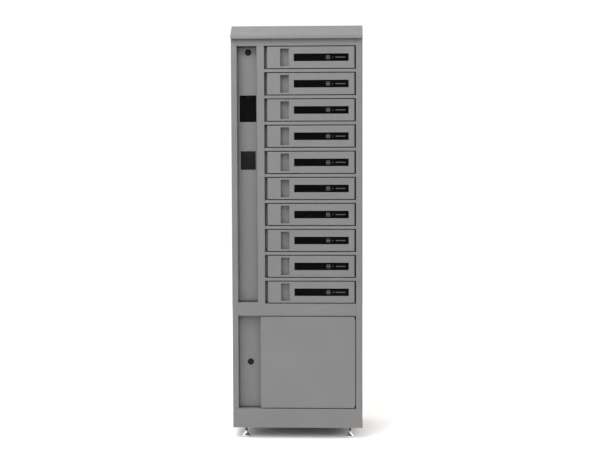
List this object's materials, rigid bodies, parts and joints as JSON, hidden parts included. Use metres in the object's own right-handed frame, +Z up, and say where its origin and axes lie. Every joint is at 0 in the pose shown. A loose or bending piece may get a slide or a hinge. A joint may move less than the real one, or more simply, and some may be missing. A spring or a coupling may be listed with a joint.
{
  "type": "phone charging kiosk",
  "caption": "Free-standing steel kiosk of stacked locking phone-charging bays beside a display and card-reader column, over a locked cabinet on levelling feet.",
  "frame": {"origin": "on the floor, under the middle of the kiosk's outer box", "axes": "+X to the user's right, +Y to the rear, +Z up; the doors face -Y"},
  "size_m": [0.461, 0.372, 1.4608],
  "materials": {
    "body_paint": "fine-textured satin powder coat, warm mid grey",
    "door_paint": "the same powder coat on the doors and panel",
    "cap_paint": "the same powder coat on the hood",
    "inner_paint": "thin grey coat inside",
    "window_smoke": "near-black smoked acrylic, polished",
    "display_glass": "display with a black glass front, switched off",
    "reader_plastic": "moulded dark grey, fine texture",
    "lock_black": "dark plated lock collar",
    "lock_plug": "dark plated lock plug and cam",
    "lock_case": "black solenoid lock case",
    "socket_plastic": "black charging module",
    "supply_case": "pressed sheet case",
    "board": "green circuit board with its parts",
    "inlet_plastic": "black panel inlet",
    "pin_steel": "ground steel pin",
    "zinc_steel": "bright zinc-plated steel",
    "foot_chrome": "bright plated foot"
  },
  "bodies": {
    "carcass": {"base_plinth": "body_paint", "side_panel_left": "body_paint", "side_panel_right": "body_paint", "top_rail": "body_paint", "mullion": "body_paint", "mid_rail": "body_paint", "top_cap": "cap_paint", "roof_panel": "inner_paint", "rear_panel": "body_paint", "column_partition": "inner_paint", "bay_back_wall": "inner_paint", "middle_deck": "inner_paint", "bay_shelves": "body_paint", "hinge_pins": "pin_steel", "levelling_feet": "foot_chrome", "foot_nuts": "zinc_steel", "rear_screws": "zinc_steel", "bay_lock_housings": "lock_case", "charge_sockets": "socket_plastic", "power_supply": "supply_case", "controller_board": "board", "mains_inlet": "inlet_plastic"},
    "bay_01_door": {"bay_door_01": "door_paint", "bay_window_01": "window_smoke"},
    "bay_01_bolt": {"bay_bolt_01": "zinc_steel"},
    "bay_02_door": {"bay_door_02": "door_paint", "bay_window_02": "window_smoke"},
    "bay_02_bolt": {"bay_bolt_02": "zinc_steel"},
    "bay_03_door": {"bay_door_03": "door_paint", "bay_window_03": "window_smoke"},
    "bay_03_bolt": {"bay_bolt_03": "zinc_steel"},
    "bay_04_door": {"bay_door_04": "door_paint", "bay_window_04": "window_smoke"},
    "bay_04_bolt": {"bay_bolt_04": "zinc_steel"},
    "bay_05_door": {"bay_door_05": "door_paint", "bay_window_05": "window_smoke"},
    "bay_05_bolt": {"bay_bolt_05": "zinc_steel"},
    "bay_06_door": {"bay_door_06": "door_paint", "bay_window_06": "window_smoke"},
    "bay_06_bolt": {"bay_bolt_06": "zinc_steel"},
    "bay_07_door": {"bay_door_07": "door_paint", "bay_window_07": "window_smoke"},
    "bay_07_bolt": {"bay_bolt_07": "zinc_steel"},
    "bay_08_door": {"bay_door_08": "door_paint", "bay_window_08": "window_smoke"},
    "bay_08_bolt": {"bay_bolt_08": "zinc_steel"},
    "bay_09_door": {"bay_door_09": "door_paint", "bay_window_09": "window_smoke"},
    "bay_09_bolt": {"bay_bolt_09": "zinc_steel"},
    "bay_10_door": {"bay_door_10": "door_paint", "bay_window_10": "window_smoke"},
    "bay_10_bolt": {"bay_bolt_10": "zinc_steel"},
    "lower_door": {"lower_door": "door_paint", "lower_lock_housing": "lock_black"},
    "lower_plug": {"lower_lock_plug": "lock_plug"},
    "service_panel": {"service_panel": "door_paint", "display_module": "display_glass", "card_reader": "reader_plastic", "service_lock_housing": "lock_black"},
    "service_plug": {"service_lock_plug": "lock_plug"}
  },
  "joints": [
    {"name": "bay_01_hinge", "type": "hinge", "parent": "carcass", "child": "bay_01_door", "pos_m": [0.195, -0.168, 1.3475], "axis": [0, 0, 1], "range_deg": [0, 110]},
    {"name": "bay_01_bolt_slide", "type": "slide", "parent": "carcass", "child": "bay_01_bolt", "axis": [1, 0, 0], "range_m": [0, 0.017]},
    {"name": "bay_02_hinge", "type": "hinge", "parent": "carcass", "child": "bay_02_door", "pos_m": [0.195, -0.168, 1.256], "axis": [0, 0, 1], "range_deg": [0, 110]},
    {"name": "bay_02_bolt_slide", "type": "slide", "parent": "carcass", "child": "bay_02_bolt", "axis": [1, 0, 0], "range_m": [0, 0.017]},
    {"name": "bay_03_hinge", "type": "hinge", "parent": "carcass", "child": "bay_03_door", "pos_m": [0.195, -0.168, 1.1645], "axis": [0, 0, 1], "range_deg": [0, 110]},
    {"name": "bay_03_bolt_slide", "type": "slide", "parent": "carcass", "child": "bay_03_bolt", "axis": [1, 0, 0], "range_m": [0, 0.017]},
    {"name": "bay_04_hinge", "type": "hinge", "parent": "carcass", "child": "bay_04_door", "pos_m": [0.195, -0.168, 1.073], "axis": [0, 0, 1], "range_deg": [0, 110]},
    {"name": "bay_04_bolt_slide", "type": "slide", "parent": "carcass", "child": "bay_04_bolt", "axis": [1, 0, 0], "range_m": [0, 0.017]},
    {"name": "bay_05_hinge", "type": "hinge", "parent": "carcass", "child": "bay_05_door", "pos_m": [0.195, -0.168, 0.9815], "axis": [0, 0, 1], "range_deg": [0, 110]},
    {"name": "bay_05_bolt_slide", "type": "slide", "parent": "carcass", "child": "bay_05_bolt", "axis": [1, 0, 0], "range_m": [0, 0.017]},
    {"name": "bay_06_hinge", "type": "hinge", "parent": "carcass", "child": "bay_06_door", "pos_m": [0.195, -0.168, 0.89], "axis": [0, 0, 1], "range_deg": [0, 110]},
    {"name": "bay_06_bolt_slide", "type": "slide", "parent": "carcass", "child": "bay_06_bolt", "axis": [1, 0, 0], "range_m": [0, 0.017]},
    {"name": "bay_07_hinge", "type": "hinge", "parent": "carcass", "child": "bay_07_door", "pos_m": [0.195, -0.168, 0.7985], "axis": [0, 0, 1], "range_deg": [0, 110]},
    {"name": "bay_07_bolt_slide", "type": "slide", "parent": "carcass", "child": "bay_07_bolt", "axis": [1, 0, 0], "range_m": [0, 0.017]},
    {"name": "bay_08_hinge", "type": "hinge", "parent": "carcass", "child": "bay_08_door", "pos_m": [0.195, -0.168, 0.707], "axis": [0, 0, 1], "range_deg": [0, 110]},
    {"name": "bay_08_bolt_slide", "type": "slide", "parent": "carcass", "child": "bay_08_bolt", "axis": [1, 0, 0], "range_m": [0, 0.017]},
    {"name": "bay_09_hinge", "type": "hinge", "parent": "carcass", "child": "bay_09_door", "pos_m": [0.195, -0.168, 0.6155], "axis": [0, 0, 1], "range_deg": [0, 110]},
    {"name": "bay_09_bolt_slide", "type": "slide", "parent": "carcass", "child": "bay_09_bolt", "axis": [1, 0, 0], "range_m": [0, 0.017]},
    {"name": "bay_10_hinge", "type": "hinge", "parent": "carcass", "child": "bay_10_door", "pos_m": [0.195, -0.168, 0.524], "axis": [0, 0, 1], "range_deg": [0, 110]},
    {"name": "bay_10_bolt_slide", "type": "slide", "parent": "carcass", "child": "bay_10_bolt", "axis": [1, 0, 0], "range_m": [0, 0.017]},
    {"name": "lower_hinge", "type": "hinge", "parent": "carcass", "child": "lower_door", "pos_m": [0.198, -0.168, 0.274], "axis": [0, 0, 1], "range_deg": [0, 110]},
    {"name": "lower_lock_turn", "type": "hinge", "parent": "lower_door", "child": "lower_plug", "pos_m": [-0.16775, -0.146, 0.272], "axis": [0, 1, 0], "range_deg": [0, 90]},
    {"name": "service_hinge", "type": "hinge", "parent": "carcass", "child": "service_panel", "pos_m": [-0.2025, -0.142, 0.9375], "axis": [0, 0, -1], "range_deg": [0, 85]},
    {"name": "service_lock_turn", "type": "hinge", "parent": "service_panel", "child": "service_plug", "pos_m": [-0.17125, -0.146, 1.3675], "axis": [0, -1, 0], "range_deg": [0, 90]}
  ]
}
